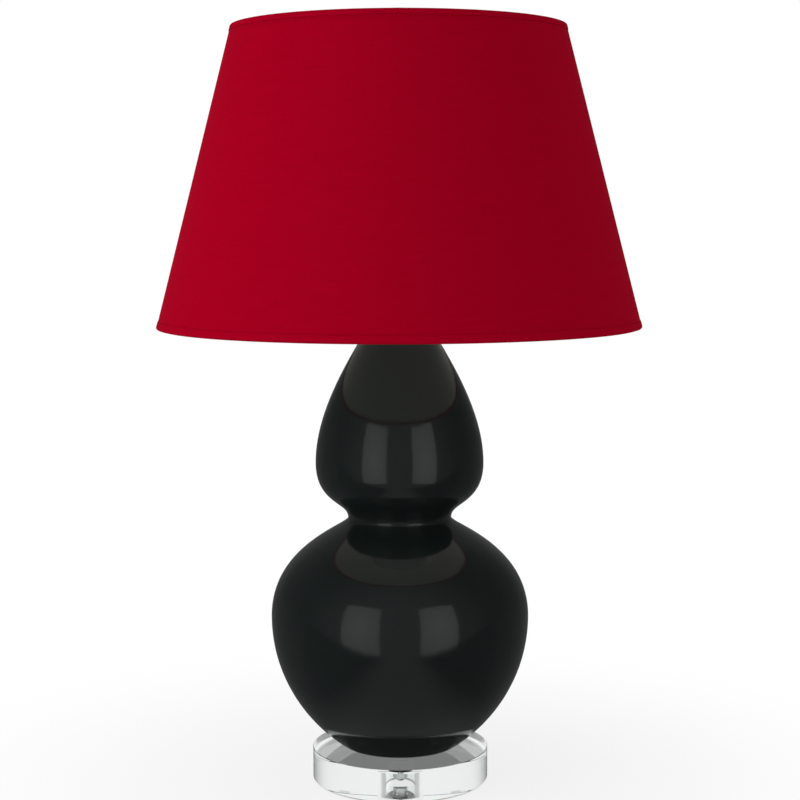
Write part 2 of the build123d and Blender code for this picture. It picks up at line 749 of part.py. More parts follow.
def bulb_outline(inset):
    radius = bulb_diameter / 2 - inset
    neck = lamp_cap_radius - inset
    middle = bulb_top - bulb_diameter / 2
    Bezier(
        (neck, lamp_cap_top), (neck, lamp_cap_top + bulb_neck_sweep),
        (radius, middle - bulb_shoulder_sweep), (radius, middle),
    )
    RadiusArc((radius, middle), (0, middle + radius), -radius)
    Polyline((0, middle + radius), (0, lamp_cap_top), (neck, lamp_cap_top))


with BuildPart() as bulb_glass:
    with BuildSketch(Plane.XZ) as bulb_sketch:
        with BuildLine() as bulb_line:
            bulb_outline(0)
        make_face()
    revolve(axis=Axis.Z)
    with BuildSketch(Plane.XZ) as bulb_hollow_sketch:
        with BuildLine() as bulb_hollow_line:
            bulb_outline(bulb_wall)
        make_face()
    revolve(axis=Axis.Z, mode=Mode.SUBTRACT)
bulb_glass.part.label = "bulb_glass"
export_step(bulb_glass.part, "parts/bulb_glass.step")


# ---------------------------------------------------------------- shade
# The shade's layers are drawn against its outer flank: so far in from it, and so far up it.
def flank(inset, up):
    radius = shade_bottom_diameter / 2 - inset * cos(lean) - up * sin(lean)
    return radius, shade_bottom - inset * sin(lean) + up * cos(lean)


cloth_out = hem_cloth + layer_gap
cloth_in = cloth_out + cloth
liner_out = cloth_in + layer_gap
liner_in = liner_out + shade_liner_sheet
ring_out = liner_in + layer_gap
ring_in = ring_out + ring_wire
hem_in = ring_in + layer_gap + hem_cloth
ring_up = hem_cloth + layer_gap + ring_wire / 2


def layer(outer, inner, bottom, top):
    Polyline(flank(outer, bottom), flank(inner, bottom), flank(inner, top), flank(outer, top), close=True)


with BuildPart() as shade_fabric:
    with BuildSketch(Plane.XZ) as fabric_sketch:
        with BuildLine() as fabric_line:
            layer(cloth_out, cloth_in, cloth_out, shade_slant - cloth_out)
        make_face()
    revolve(axis=Axis.Z)
shade_fabric.part.label = "shade_fabric"
export_step(shade_fabric.part, "parts/shade_fabric.step")

with BuildPart() as shade_liner:
    with BuildSketch(Plane.XZ) as liner_sketch:
        with BuildLine() as liner_line:
            layer(liner_out, liner_in, cloth_out, shade_slant - cloth_out)
        make_face()
    revolve(axis=Axis.Z)
shade_liner.part.label = "shade_liner"
export_step(shade_liner.part, "parts/shade_liner.step")

ring_middle = (ring_out + ring_in) / 2
with BuildPart() as shade_bottom_ring:
    with BuildSketch(Plane.XZ) as bottom_ring_sketch:
        with Locations(flank(ring_middle, ring_up)):
            Circle(ring_wire / 2)
    revolve(axis=Axis.Z)
shade_bottom_ring.part.label = "shade_bottom_ring"
export_step(shade_bottom_ring.part, "parts/shade_bottom_ring.step")

top_ring_centre = flank(ring_middle, shade_slant - ring_up)
with BuildPart() as shade_top_ring:
    with BuildSketch(Plane.XZ) as top_ring_sketch:
        with Locations(top_ring_centre):
            Circle(ring_wire / 2)
    revolve(axis=Axis.Z)
shade_top_ring.part.label = "shade_top_ring"
export_step(shade_top_ring.part, "parts/shade_top_ring.step")

with BuildPart() as spider_hub:
    with BuildSketch(Plane.XY.offset(hub_bottom)) as hub_sketch:
        Circle(hub_diameter / 2)
        Circle(finial_thread_diameter / 2 + stud_play, mode=Mode.SUBTRACT)
    extrude(amount=hub_thickness)
spider_hub.part.label = "spider_hub"
export_step(spider_hub.part, "parts/spider_hub.step")

# The arms lie on the hub and rise to the top ring, welded at both ends.
ring_radius, ring_level = top_ring_centre
arm_start = Vector(hub_diameter / 2 - hub_lap, 0, hub_top + arm_wire / 2 - arm_weld)
arm_end = Vector(ring_radius - ring_wire / 2 + arm_weld, 0, ring_level)
arm_run = arm_end - arm_start
arm_plane = Plane(origin=arm_start, z_dir=arm_run.normalized())

with BuildPart() as spider_arms:
    arm_blank = Solid.make_cylinder(arm_wire / 2, arm_run.length, arm_plane)
    with PolarLocations(0, arm_count, start_angle=90):
        add(arm_blank)
spider_arms.part.label = "spider_arms"
export_step(spider_arms.part, "parts/spider_arms.step")


# Each hem is a band of cloth folded round the edge of the shade and its wire ring.
def hem_band(edge, inward, width):
    fold = edge + inward * hem_cloth
    tuck = edge + inward * hem_turn_in
    rim = edge + inward * width
    Polyline(
        flank(0, edge), flank(hem_in, edge), flank(hem_in, tuck), flank(hem_in - hem_cloth, tuck),
        flank(hem_in - hem_cloth, fold), flank(hem_cloth, fold), flank(hem_cloth, rim),
        flank(0, rim), close=True,
    )


with BuildPart() as shade_bottom_hem:
    with BuildSketch(Plane.XZ) as bottom_hem_sketch:
        with BuildLine() as bottom_hem_line:
            hem_band(0, 1, bottom_hem_width)
        make_face()
    revolve(axis=Axis.Z)
shade_bottom_hem.part.label = "shade_bottom_hem"
export_step(shade_bottom_hem.part, "parts/shade_bottom_hem.step")

# The top hem's tuck is notched where the arms reach the ring.
with BuildPart() as shade_top_hem:
    with BuildSketch(Plane.XZ) as top_hem_sketch:
        with BuildLine() as top_hem_line:
            hem_band(shade_slant, -1, top_hem_width)
        make_face()
    revolve(axis=Axis.Z)
    notch_blank = Solid.make_cylinder(arm_wire / 2 + notch_play, arm_run.length, arm_plane)
    with PolarLocations(0, arm_count, start_angle=90):
        add(notch_blank, mode=Mode.SUBTRACT)
shade_top_hem.part.label = "shade_top_hem"
export_step(shade_top_hem.part, "parts/shade_top_hem.step")


# ---------------------------------------------------------------- finial
finial_bottom = hub_top + seat_gap
with BuildPart() as finial_insert:
    with BuildSketch(Plane.XY.offset(finial_bottom)) as insert_sketch:
        Circle(finial_insert_diameter / 2)
        Circle(finial_thread_diameter / 2 + slip_fit, mode=Mode.SUBTRACT)
    extrude(amount=finial_insert_height)
finial_insert.part.label = "finial_insert"
export_step(finial_insert.part, "parts/finial_insert.step")

with BuildPart() as finial_knob:
    base_radius = finial_base_diameter / 2
    finial_neck = finial_neck_diameter / 2
    head_radius = finial_diameter / 2
    finial_top = finial_bottom + finial_height
    base_top = finial_bottom + finial_base_height
    head_bottom = finial_top - finial_head_height
    with BuildSketch(Plane.XZ) as finial_sketch:
        with BuildLine() as finial_line:
            Polyline((finial_neck, base_top), (base_radius, base_top), (base_radius, finial_bottom))
            Polyline((base_radius, finial_bottom), (0, finial_bottom), (0, finial_top))
            Polyline((0, finial_top), (head_radius, finial_top), (head_radius, head_bottom))
            Bezier((head_radius, head_bottom), (finial_neck, head_bottom), (finial_neck, base_top))
        make_face()
    revolve(axis=Axis.Z)
    fillet(finial_knob.edges().group_by(Axis.Z)[-1], finial_edge)
    with BuildSketch(Plane.XY.offset(finial_bottom)) as finial_seat_sketch:
        Circle(finial_insert_diameter / 2 + screw_fit)
    extrude(amount=finial_insert_height, mode=Mode.SUBTRACT)
    with BuildSketch(Plane.XY.offset(finial_bottom)) as finial_bore_sketch:
        Circle(finial_thread_diameter / 2 + slip_fit)
    extrude(amount=finial_insert_height + finial_bore_end, mode=Mode.SUBTRACT)
finial_knob.part.label = "finial_knob"
export_step(finial_knob.part, "parts/finial_knob.step")

print("levels:", {"gourd foot": foot, "lip": lip, "saddle": saddle_top, "hub": hub_bottom})
print("shade:", round(shade_bottom, 2), "to", round(shade_top, 2), "finial top", round(finial_top, 2))
print("cord inlet:", inlet_plane.offset(grommet_flange_thickness).origin, inlet_plane.z_dir)
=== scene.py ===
import math

import bmesh
import bpy
from mathutils import Matrix, Vector


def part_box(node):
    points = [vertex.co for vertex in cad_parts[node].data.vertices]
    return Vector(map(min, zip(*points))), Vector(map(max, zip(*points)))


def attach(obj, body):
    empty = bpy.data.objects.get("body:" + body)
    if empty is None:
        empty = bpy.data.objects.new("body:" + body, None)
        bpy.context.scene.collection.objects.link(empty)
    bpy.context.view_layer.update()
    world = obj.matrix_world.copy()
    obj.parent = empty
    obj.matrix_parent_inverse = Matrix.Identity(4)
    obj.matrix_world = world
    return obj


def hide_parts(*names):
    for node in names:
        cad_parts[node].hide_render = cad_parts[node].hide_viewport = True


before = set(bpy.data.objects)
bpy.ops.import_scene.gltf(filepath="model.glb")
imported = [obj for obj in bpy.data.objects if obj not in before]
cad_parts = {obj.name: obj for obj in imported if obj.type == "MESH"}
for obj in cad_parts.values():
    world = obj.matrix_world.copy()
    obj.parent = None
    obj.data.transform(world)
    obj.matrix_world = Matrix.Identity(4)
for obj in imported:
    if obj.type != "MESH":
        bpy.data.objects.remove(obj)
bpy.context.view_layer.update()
MM = 0.001

# ---------------------------------------------------------------- studio
# A white sweep with no horizon, two tall softboxes in front of the lamp that only its gloss
# sees, a key light from the left and a weaker fill from the right.
STUDIO_REACH = 2.0  # metres from the lamp to the softboxes and lights
SOFTBOX_TURN = 34  # degrees to each side of the camera
SOFTBOX_SIZE = (1.2, 2.0)
SOFTBOX_HEIGHT = 0.36
SOFTBOX_LEVEL = 0.8
SOFTBOX_MIDDLE, SOFTBOX_CORNER = 1.15, 0.8  # of that level
CORNER_REACH = 1.4  # from the middle, in halves of a side
KEY_POWER, FILL_POWER = 16, 1.5
LIGHT_SIZE = 1.5
AIM_HEIGHT = 0.45


def srgb(code):
    """The linear colour of an sRGB hex value."""
    shares = [int(code[at:at + 2], 16) / 255 for at in (0, 2, 4)]
    linear = [c / 12.92 if c <= 0.04045 else ((c + 0.055) / 1.055) ** 2.4 for c in shares]
    return (*linear, 1)


def add_node(tree, kind, inputs=None, **settings):
    """Adds a node. An input is given a value, or the socket that feeds it."""
    made = tree.nodes.new(kind)
    for name, value in settings.items():
        setattr(made, name, value)
    for name, value in (inputs or {}).items():
        if isinstance(value, bpy.types.NodeSocket):
            tree.links.new(value, made.inputs[name])
        else:
            made.inputs[name].default_value = value
    return made


def around(turn, height):
    """A place at the studio's reach, so many degrees from the camera's side of the lamp."""
    angle = math.radians(turn)
    return Vector((math.sin(angle) * STUDIO_REACH, -math.cos(angle) * STUDIO_REACH, height))


def softbox(name, turn):
    """An upright panel that faces the lamp and that only mirror-like surfaces see."""
    place = around(turn, SOFTBOX_HEIGHT)
    up = Vector((0, 0, 1))
    across = Vector((-place.x, -place.y, 0)).cross(up).normalized()
    wide, high = SOFTBOX_SIZE[0] / 2, SOFTBOX_SIZE[1] / 2
    corners = [place + across * x + up * y
               for x, y in ((-wide, -high), (wide, -high), (wide, high), (-wide, high))]
    mesh = bpy.data.meshes.new(name)
    mesh.from_pydata(corners, [], [(0, 1, 2, 3)])
    mesh.uv_layers.new().uv.foreach_set("vector", (-1, -1, 1, -1, 1, 1, -1, 1))
    made = bpy.data.objects.new(name, mesh)
    bpy.context.scene.collection.objects.link(made)
    glow = bpy.data.materials.new(name)
    glow.use_nodes = True
    tree = glow.node_tree
    tree.nodes.clear()
    spot = add_node(tree, "ShaderNodeTexCoord")
    off_centre = add_node(tree, "ShaderNodeVectorMath", {0: spot.outputs["UV"]}, operation="LENGTH")
    falloff = add_node(tree, "ShaderNodeMapRange", {
        "Value": off_centre.outputs["Value"], "From Max": CORNER_REACH,
        "To Min": SOFTBOX_LEVEL * SOFTBOX_MIDDLE, "To Max": SOFTBOX_LEVEL * SOFTBOX_CORNER})
    light = add_node(tree, "ShaderNodeEmission", {"Strength": falloff.outputs[0]})
    add_node(tree, "ShaderNodeOutputMaterial", {"Surface": light.outputs[0]})
    mesh.materials.append(glow)
    for ray in ("camera", "diffuse", "volume_scatter", "shadow"):
        setattr(made, f"visible_{ray}", False)


def lamp_light(name, turn, height, power):
    """A square area light, aimed at the middle of the lamp, left out of its reflections."""
    light = bpy.data.lights.new(name, "AREA")
    light.size = LIGHT_SIZE
    light.energy = power
    made = bpy.data.objects.new(name, light)
    bpy.context.scene.collection.objects.link(made)
    made.location = around(turn, height)
    aim = Vector((0, 0, AIM_HEIGHT)) - made.location
    made.rotation_euler = aim.to_track_quat("-Z", "Y").to_euler()
    made.visible_glossy = False
    made.visible_camera = False


softbox("softbox_left", -SOFTBOX_TURN)
softbox("softbox_right", SOFTBOX_TURN)
lamp_light("key_light", turn=-60, height=0.9, power=KEY_POWER)
lamp_light("fill_light", turn=62, height=0.8, power=FILL_POWER)

# In the gloss the room is dim in front, darker at the sides and dim behind the lamp, with a
# narrow white strip straight behind, which the top of the clear disc mirrors. Each span is of
# a ray's direction: X to the side, Y to the back, Z up, each a share of its length.
AMBIENT = 0.58  # of the room, on the object
FRONT_IN_GLOSS, SIDES_IN_GLOSS, FRONT_TO_SIDES_Y = 0.24, 0.08, (-0.95, 0.15)
ABOVE_IN_GLOSS, ABOVE_Z = 0.28, (0.88, 0.96)
BEHIND_IN_GLOSS, BEHIND_X, BEHIND_Y, BEHIND_Z = 0.12, (0.7, 0.3), (0.25, 0.5), (0.96, 0.84)
STRIP_IN_GLOSS, STRIP_X, STRIP_Z = 1.0, (0.13, 0.08), (0.02, 0.12)
SIDES_THROUGH_CLEAR, SIDES_TO_BACK_Y = 0.6, (0.2, 0.7)  # what the clear disc shows at its sides
FRONT_THROUGH_CLEAR, FRONT_Y = 1.3, (-0.4, -0.8)  # what lights the nut through it


def fade(tree, value, low, high, span=None):
    """A level from low to high, each a value or a socket: in step with a value from 0 to 1,
    or smoothly as the value crosses a span."""
    start, end = span or (0.0, 1.0)
    kind = "SMOOTHSTEP" if span else "LINEAR"
    return add_node(tree, "ShaderNodeMapRange", interpolation_type=kind, inputs={
        "Value": value, "From Min": start, "From Max": end, "To Min": low, "To Max": high}).outputs[0]


world = bpy.data.worlds.new("white_room")
bpy.context.scene.world = world
world.use_nodes = True
tree = world.node_tree
tree.nodes.clear()
rays = add_node(tree, "ShaderNodeLightPath").outputs
way = add_node(tree, "ShaderNodeTexCoord").outputs["Generated"]
way = add_node(tree, "ShaderNodeSeparateXYZ", {0: way}).outputs
sideways = add_node(tree, "ShaderNodeMath", {0: way["X"]}, operation="ABSOLUTE").outputs[0]
behind = fade(tree, sideways, 0.0, fade(tree, way["Y"], 0.0, 1.0, BEHIND_Y), BEHIND_X)
strip = fade(tree, sideways, 0.0, fade(tree, way["Z"], 0.0, behind, STRIP_Z), STRIP_X)
room_level = fade(tree, way["Y"], FRONT_IN_GLOSS, SIDES_IN_GLOSS, FRONT_TO_SIDES_Y)
room_level = fade(tree, way["Z"], room_level, ABOVE_IN_GLOSS, ABOVE_Z)
low_behind = fade(tree, way["Z"], 0.0, behind, BEHIND_Z)
room_level = fade(tree, low_behind, room_level, BEHIND_IN_GLOSS)
room_level = fade(tree, strip, room_level, STRIP_IN_GLOSS)
clear_level = fade(tree, way["Y"], SIDES_THROUGH_CLEAR, 1.0, SIDES_TO_BACK_Y)
clear_level = fade(tree, way["Y"], clear_level, FRONT_THROUGH_CLEAR, FRONT_Y)
level = fade(tree, rays["Is Glossy Ray"], AMBIENT, room_level)
level = fade(tree, rays["Is Transmission Ray"], level, clear_level)
level = fade(tree, rays["Is Camera Ray"], level, 1.0)
sky = add_node(tree, "ShaderNodeBackground", {"Color": (1, 1, 1, 1), "Strength": level})
add_node(tree, "ShaderNodeOutputWorld", {"Surface": sky.outputs[0]})

# The floor is white paper that keeps a light shadow round the lamp, with a deeper shadow
# painted under the disc. In the gloss it shows as a painted dim table top, dimmer to the sides
# and behind the lamp, with painted shade under the disc, and gone past its front edge.
FLOOR_REACH = 12
FLOOR_LEVEL = -0.0002  # just under the feet
FLOOR_SHADOW = 0.2  # how much of the floor's white comes from the lamps, by the lamp's foot
SHADOW_FADES = (0.12, 0.6)  # metres from the lamp's axis, as the next two are
DISC_EDGE, POCKET_EDGE = (0.084, 0.088), (0.0145, 0.0155)
PAINTED_SHADE_UNDER_DISC, POCKET_LEVEL = 0.33, 0.9  # painted shade on the paper under the disc, lighter under its pocket
# In the gloss the paper shows a dim table, with painted shade under the disc
TABLE_IN_GLOSS, PAINTED_SHADE_IN_GLOSS = 0.24, 0.04
TABLE_SIDES_IN_GLOSS, TABLE_SIDES_X = 0.07, (0.06, 0.2)
TABLE_BACK_IN_GLOSS, TABLE_BACK_Y = 0.09, (-0.1, 0.03)
TABLE_FRONT_Y = (-0.4, -0.55)
BOUNCED = 0.5  # a ray has left a glossy surface once its glossy depth is over this
floor_mesh = bpy.data.meshes.new("floor")
floor_mesh.from_pydata([(x * FLOOR_REACH, y * FLOOR_REACH, FLOOR_LEVEL)
                        for x, y in ((-1, -1), (1, -1), (1, 1), (-1, 1))], [], [(0, 1, 2, 3)])
floor = bpy.data.objects.new("floor", floor_mesh)
bpy.context.scene.collection.objects.link(floor)
paper = bpy.data.materials.new("white_paper_sweep")
paper.use_nodes = True
tree = paper.node_tree
tree.nodes.clear()
rays = add_node(tree, "ShaderNodeLightPath").outputs
spot = add_node(tree, "ShaderNodeTexCoord").outputs["Object"]
reach = add_node(tree, "ShaderNodeVectorMath", {0: spot}, operation="LENGTH").outputs["Value"]
spot = add_node(tree, "ShaderNodeSeparateXYZ", {0: spot}).outputs
sideways = add_node(tree, "ShaderNodeMath", {0: spot["X"]}, operation="ABSOLUTE").outputs[0]
table_level = fade(tree, sideways, TABLE_IN_GLOSS, TABLE_SIDES_IN_GLOSS, TABLE_SIDES_X)
table_level = fade(tree, spot["Y"], table_level, TABLE_BACK_IN_GLOSS, TABLE_BACK_Y)
table_level = fade(tree, reach, PAINTED_SHADE_IN_GLOSS, table_level, DISC_EDGE)
# Through the disc the paper shows painted shade, darker to the gourd's gloss, lighter under the pocket
bounced = add_node(tree, "ShaderNodeMath", operation="GREATER_THAN", inputs={
    0: rays["Glossy Depth"], 1: BOUNCED}).outputs[0]
clear_level = fade(tree, bounced, PAINTED_SHADE_UNDER_DISC, PAINTED_SHADE_IN_GLOSS)
clear_level = fade(tree, reach, POCKET_LEVEL, clear_level, POCKET_EDGE)
clear_level = fade(tree, reach, clear_level, 1.0, DISC_EDGE)
mirrored = add_node(tree, "ShaderNodeMath", operation="SUBTRACT", inputs={
    0: rays["Is Glossy Ray"], 1: rays["Is Transmission Ray"]}).outputs[0]
seen_level = fade(tree, mirrored, clear_level, table_level)
white = add_node(tree, "ShaderNodeEmission", {"Strength": seen_level})
lit = add_node(tree, "ShaderNodeBsdfDiffuse", {"Color": srgb("F4F4F4")})
plain = fade(tree, reach, 1 - FLOOR_SHADOW, 1.0, SHADOW_FADES)
plain = fade(tree, rays["Is Camera Ray"], 0.0, plain)
for kind in ("Is Glossy Ray", "Is Transmission Ray"):
    plain = add_node(tree, "ShaderNodeMath", {0: plain, 1: rays[kind]}, operation="MAXIMUM").outputs[0]
paper_top = add_node(tree, "ShaderNodeMixShader", {0: plain, 1: lit.outputs[0], 2: white.outputs[0]})
# Past the table's front edge the gloss sees the dim room instead
gone = fade(tree, mirrored, 0.0, fade(tree, spot["Y"], 0.0, 1.0, TABLE_FRONT_Y))
nothing = add_node(tree, "ShaderNodeBsdfTransparent")
paper_seen = add_node(tree, "ShaderNodeMixShader", {
    0: gone, 1: paper_top.outputs[0], 2: nothing.outputs[0]})
add_node(tree, "ShaderNodeOutputMaterial", {"Surface": paper_seen.outputs[0]})
floor_mesh.materials.append(paper)

# The camera stands in front, a little above the middle, and looks slightly down.
CAMERA_REACH = 1.8
CAMERA_HEIGHT = 0.574
CAMERA_ROLL = math.radians(-0.14)
FRAME_PIXELS = 800
FOCAL_PIXELS = 1803
HORIZON_PIXEL = 213  # row of the photograph at the camera's height
AXIS_PIXEL = 399.4  # column of the lamp's axis, in the middle row
SENSOR_WIDTH = 36
camera_data = bpy.data.cameras.new("camera")
camera_data.sensor_width = SENSOR_WIDTH
camera_data.lens = SENSOR_WIDTH * FOCAL_PIXELS / FRAME_PIXELS
camera = bpy.data.objects.new("camera", camera_data)
bpy.context.scene.collection.objects.link(camera)
off_axis = (FRAME_PIXELS / 2 - AXIS_PIXEL) / FOCAL_PIXELS * CAMERA_REACH
camera.location = (off_axis, -CAMERA_REACH, CAMERA_HEIGHT)
pitch = math.atan((FRAME_PIXELS / 2 - HORIZON_PIXEL) / FOCAL_PIXELS)
tilt = Matrix.Rotation(math.pi / 2 - pitch, 3, "X") @ Matrix.Rotation(CAMERA_ROLL, 3, "Z")
camera.rotation_euler = tilt.to_euler()
bpy.context.scene.camera = camera
bpy.context.scene.view_settings.view_transform = "Standard"


# ---------------------------------------------------------------- bumper feet and clear disc
# Four stick-on bumpers of clear polyurethane carry a thick disc of cast acrylic, turned and
# flame polished, with a pocket bored from below for the nut.
def new_material(name, finish):
    """A material whose surface is one Principled shader with the given finish."""
    made = bpy.data.materials.new(name)
    made.use_nodes = True
    shader = made.node_tree.nodes["Principled BSDF"]
    for socket, value in finish.items():
        shader.inputs[socket].default_value = value
    return made, made.node_tree, shader


def dress(material, *nodes):
    """Gives CAD nodes their material."""
    for node in nodes:
        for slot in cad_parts[node].material_slots:
            slot.material = material


def per_metre(millimetres):
    """The scale of a texture whose grain is so many millimetres."""
    return 1000 / millimetres


# Soft clear rubber: it lets light under the disc, with a slight haze from its mould
clear_rubber, tree, shader = new_material("moulded_clear_polyurethane", {
    "Base Color": srgb("E9ECEA"), "Alpha": 0.25, "IOR": 1.49})
place = add_node(tree, "ShaderNodeTexCoord").outputs["Object"]
haze = add_node(tree, "ShaderNodeTexNoise", {"Vector": place, "Scale": per_metre(1.5)})
haze_level = add_node(tree, "ShaderNodeMapRange", {
    "Value": haze.outputs["Fac"], "To Min": 0.15, "To Max": 0.35})
tree.links.new(haze_level.outputs[0], shader.inputs["Roughness"])
dress(clear_rubber, "bumper_feet")

# Cast acrylic: clear as water, with a polish that shows only the faintest wipe marks
acrylic, tree, shader = new_material("cast_acrylic_flame_polished", {
    "Base Color": srgb("EFF2F1"), "Transmission Weight": 1.0, "IOR": 1.49})
place = add_node(tree, "ShaderNodeTexCoord").outputs["Object"]
wipes = add_node(tree, "ShaderNodeTexNoise", {
    "Vector": place, "Scale": per_metre(40), "Detail": 6.0, "Distortion": 1.2})
polish = add_node(tree, "ShaderNodeMapRange", {
    "Value": wipes.outputs["Fac"], "From Min": 0.5, "From Max": 0.75, "To Min": 0.0, "To Max": 0.02})
tree.links.new(polish.outputs[0], shader.inputs["Roughness"])
dress(acrylic, "base_disc")

# ---------------------------------------------------------------- stud, washers and nut
# Zinc-plated steel, seen through the disc: a rolled thread, a punched washer, a split lock
# washer and a pressed hex nut. The plating gives a cool grey with a soft, slightly worn sheen.
STUD_THREAD = dict(radius=3.175, pitch=1.27, bottom=4.0, height=2.54, ridge=0.35)
TURN_STEPS, RIDGE_SIDES = 32, 6


def metal_finish(name, colour, roughness, grain, spread):
    """Plated or polished metal: one colour, with a fine wear, of a grain in millimetres, that
    spreads its roughness to both sides."""
    made, tree, shader = new_material(name, {"Base Color": srgb(colour), "Metallic": 1.0})
    place = add_node(tree, "ShaderNodeTexCoord").outputs["Object"]
    wear = add_node(tree, "ShaderNodeTexNoise", {
        "Vector": place, "Scale": per_metre(grain), "Detail": 5.0})
    gloss = add_node(tree, "ShaderNodeMapRange", {
        "Value": wear.outputs["Fac"], "From Min": 0.3, "From Max": 0.7,
        "To Min": roughness - spread, "To Max": roughness + spread})
    bump = add_node(tree, "ShaderNodeBump", {
        "Height": wear.outputs["Fac"], "Strength": 0.15, "Distance": 0.05 * MM})
    tree.links.new(gloss.outputs[0], shader.inputs["Roughness"])
    tree.links.new(bump.outputs[0], shader.inputs["Normal"])
    return made


def thread_tree():
    """A screw thread: a ridge swept along a spiral, with its sizes as inputs."""
    tree = bpy.data.node_groups.new("screw_thread", "GeometryNodeTree")
    sockets = tree.interface
    sockets.new_socket("Geometry", in_out="OUTPUT", socket_type="NodeSocketGeometry")
    for name in ("Radius", "Pitch", "Bottom", "Height", "Ridge"):
        sockets.new_socket(name, in_out="INPUT", socket_type="NodeSocketFloat")
    sockets.new_socket("Material", in_out="INPUT", socket_type="NodeSocketMaterial")
    given = add_node(tree, "NodeGroupInput").outputs
    turns = add_node(tree, "ShaderNodeMath", operation="DIVIDE", inputs={
        0: given["Height"], 1: given["Pitch"]})
    spiral = add_node(tree, "GeometryNodeCurveSpiral", {
        "Resolution": TURN_STEPS, "Rotations": turns.outputs[0], "Height": given["Height"],
        "Start Radius": given["Radius"], "End Radius": given["Radius"]})
    ridge = add_node(tree, "GeometryNodeCurvePrimitiveCircle", {
        "Resolution": RIDGE_SIDES, "Radius": given["Ridge"]})
    swept = add_node(tree, "GeometryNodeCurveToMesh", {
        "Curve": spiral.outputs[0], "Profile Curve": ridge.outputs[0], "Fill Caps": True})
    lift = add_node(tree, "ShaderNodeCombineXYZ", {"Z": given["Bottom"]})
    placed = add_node(tree, "GeometryNodeTransform", {
        "Geometry": swept.outputs[0], "Translation": lift.outputs[0]})
    real = add_node(tree, "GeometryNodeRealizeInstances", {0: placed.outputs[0]})
    painted = add_node(tree, "GeometryNodeSetMaterial", {
        "Geometry": real.outputs[0], "Material": given["Material"]})
    add_node(tree, "NodeGroupOutput", {0: painted.outputs[0]})
    return tree


THREADS = thread_tree()


def screw_thread(name, material, body, slot, radius, pitch, bottom, height, ridge):
    """Makes a thread's mesh from the tree, from sizes in millimetres, riding on a body."""
    made = bpy.data.objects.new(name, bpy.data.meshes.new(name))
    bpy.context.scene.collection.objects.link(made)
    grown = made.modifiers.new("thread", "NODES")
    grown.node_group = THREADS
    sizes = {"Radius": radius, "Pitch": pitch, "Bottom": bottom, "Height": height, "Ridge": ridge}
    for item in THREADS.interface.items_tree:
        if item.name in sizes:
            grown[item.identifier] = sizes[item.name] * MM
        if item.name == "Material":
            grown[item.identifier] = material
    graph = bpy.context.evaluated_depsgraph_get()
    mesh = bpy.data.meshes.new_from_object(made.evaluated_get(graph))
    made.modifiers.remove(grown)
    made.data = mesh
    for face in mesh.polygons:
        face.use_smooth = True
    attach(made, body)


zinc_steel = metal_finish("zinc_plated_steel", "C9CBCC", roughness=0.3, grain=1.2, spread=0.08)
dress(zinc_steel, "base_stud", "base_flat_washer", "base_lock_washer", "base_nut")
screw_thread("stud_thread", zinc_steel, "lamp_base", "zinc_steel", **STUD_THREAD)

# ---------------------------------------------------------------- spacer
# A thin ring of turned brass, nickel plated and polished to a warm mirror. It lifts the gourd
# a little off the disc.
polished_nickel = metal_finish("polished_nickel_plate", "E3E0D8", roughness=0.07, grain=4, spread=0.03)
dress(polished_nickel, "base_spacer")

# ---------------------------------------------------------------- gourd
# Slip-cast stoneware under a thick black glaze: a hard gloss with a hint of green, a colour
# that pools a little, and a slow ripple where the glaze ran.
glaze, tree, shader = new_material("black_stoneware_glaze", {"IOR": 1.5})
place = add_node(tree, "ShaderNodeTexCoord").outputs["Object"]
pooling = add_node(tree, "ShaderNodeTexNoise", {
    "Vector": place, "Scale": per_metre(60), "Detail": 3.0})
tone = add_node(tree, "ShaderNodeMix", data_type="RGBA", inputs={
    0: pooling.outputs["Fac"], 6: srgb("121716"), 7: srgb("161C1B")})
gloss = add_node(tree, "ShaderNodeMapRange", {
    "Value": pooling.outputs["Fac"], "To Min": 0.08, "To Max": 0.12})
ripple = add_node(tree, "ShaderNodeTexNoise", {
    "Vector": place, "Scale": per_metre(14), "Detail": 1.0})
ripple_bump = add_node(tree, "ShaderNodeBump", {
    "Height": ripple.outputs["Fac"], "Strength": 0.12, "Distance": 0.25 * MM})
tree.links.new(tone.outputs[2], shader.inputs["Base Color"])
tree.links.new(gloss.outputs[0], shader.inputs["Roughness"])
tree.links.new(ripple_bump.outputs[0], shader.inputs["Normal"])
dress(glaze, "gourd_body")

# ---------------------------------------------------------------- cord bushing and gasket
# Moulded black rubber with the dull bloom of a spark-eroded mould: a bushing pushed into the
# hole at the back, and a ring that keeps the cap off the glaze.
black_rubber, tree, shader = new_material("moulded_black_rubber", {"Base Color": srgb("161616")})
place = add_node(tree, "ShaderNodeTexCoord").outputs["Object"]
grain = add_node(tree, "ShaderNodeTexNoise", {"Vector": place, "Scale": per_metre(0.6)})
dullness = add_node(tree, "ShaderNodeMapRange", {
    "Value": grain.outputs["Fac"], "To Min": 0.55, "To Max": 0.8})
grain_bump = add_node(tree, "ShaderNodeBump", {
    "Height": grain.outputs["Fac"], "Strength": 0.3, "Distance": 0.08 * MM})
tree.links.new(dullness.outputs[0], shader.inputs["Roughness"])
tree.links.new(grain_bump.outputs[0], shader.inputs["Normal"])
dress(black_rubber, "cord_bushing", "lip_gasket")

# ---------------------------------------------------------------- pipe and cap
# A threaded pipe of zinc-plated steel through the middle, on a brass coupling, draws a spun
# cap and a neck tube down on the gourd's mouth. Both are polished nickel plate.
PIPE_THREAD = dict(radius=4.95, pitch=0.94, bottom=485.0, height=18.0, ridge=0.3)
# Bare turned brass: a warm yellow, gone a little dull
brass = metal_finish("turned_brass", "D8B468", roughness=0.28, grain=1.5, spread=0.08)
dress(brass, "pipe_coupling")
dress(zinc_steel, "floor_washer", "lamp_pipe", "lock_nut")
dress(polished_nickel, "vase_cap", "neck_tube")
screw_thread("pipe_thread", zinc_steel, "lamp_base", "zinc_steel", **PIPE_THREAD)

